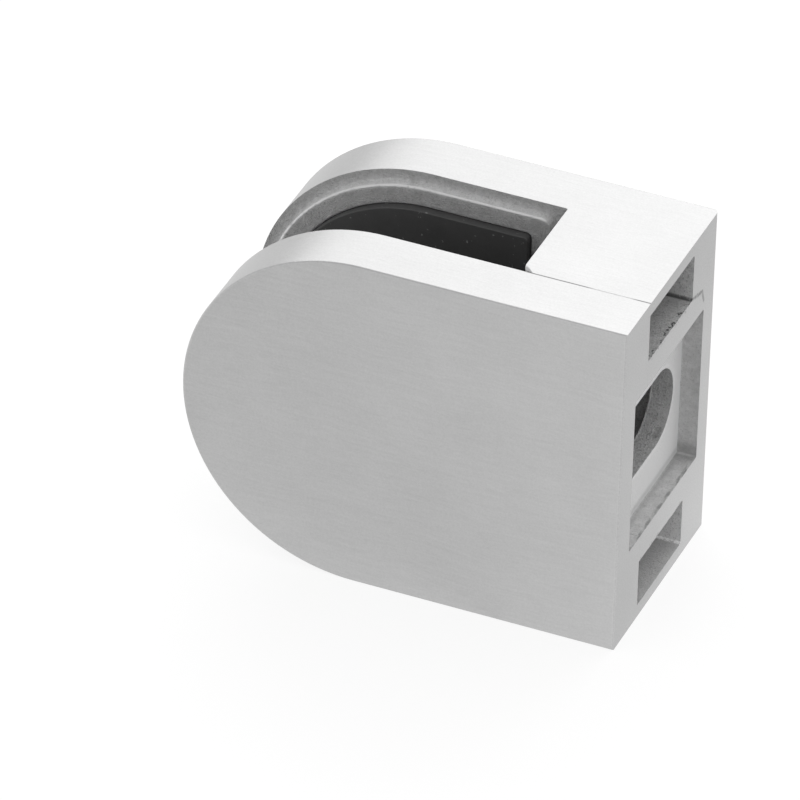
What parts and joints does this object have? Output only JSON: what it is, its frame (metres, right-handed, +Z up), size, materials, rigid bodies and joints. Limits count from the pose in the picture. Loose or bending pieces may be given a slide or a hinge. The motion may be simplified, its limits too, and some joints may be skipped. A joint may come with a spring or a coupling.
{
  "type": "glass panel clamp",
  "caption": "D-shaped two-part glass panel clamp with rubber pads, a square insert seat and a fixing slot for a post or wall.",
  "frame": {"origin": "where the fixing screw's axis meets the mounting face, at the centre of the square insert seat's mouth", "axes": "+X out of the mounting face towards the post, -Y out of the cover's front, +Z up along the clamp's height"},
  "size_m": [0.056, 0.0292, 0.045],
  "materials": {
    "cast_steel": "ground and brushed outside, rough as cast inside",
    "pad_rubber": "matte black",
    "screw_steel": "plain machined"
  },
  "bodies": {
    "base": {"base_body": "cast_steel", "rear_pad": "pad_rubber"},
    "cover": {"cover_plate": "cast_steel", "front_pad": "pad_rubber"},
    "upper_screw": {"upper_clamp_screw": "screw_steel"},
    "lower_screw": {"lower_clamp_screw": "screw_steel"}
  },
  "joints": [
    {"name": "cover_opening", "type": "slide", "parent": "base", "child": "cover", "axis": [0, -1, 0], "range_m": [0, 0.0036]},
    {"name": "upper_screw_turn", "type": "hinge", "parent": "base", "child": "upper_screw", "pos_m": [-0.0105, 0, 0.0145], "axis": [0, 1, 0], "range_deg": [0, 1296.1]},
    {"name": "lower_screw_turn", "type": "hinge", "parent": "base", "child": "lower_screw", "pos_m": [-0.0105, 0, -0.0145], "axis": [0, 1, 0], "range_deg": [0, 1296.1]}
  ],
  "couplings": [
    {"joint": "upper_screw_turn", "follows": "cover_opening", "rad_per_m": 6283.2},
    {"joint": "lower_screw_turn", "follows": "cover_opening", "rad_per_m": 6283.2}
  ]
}
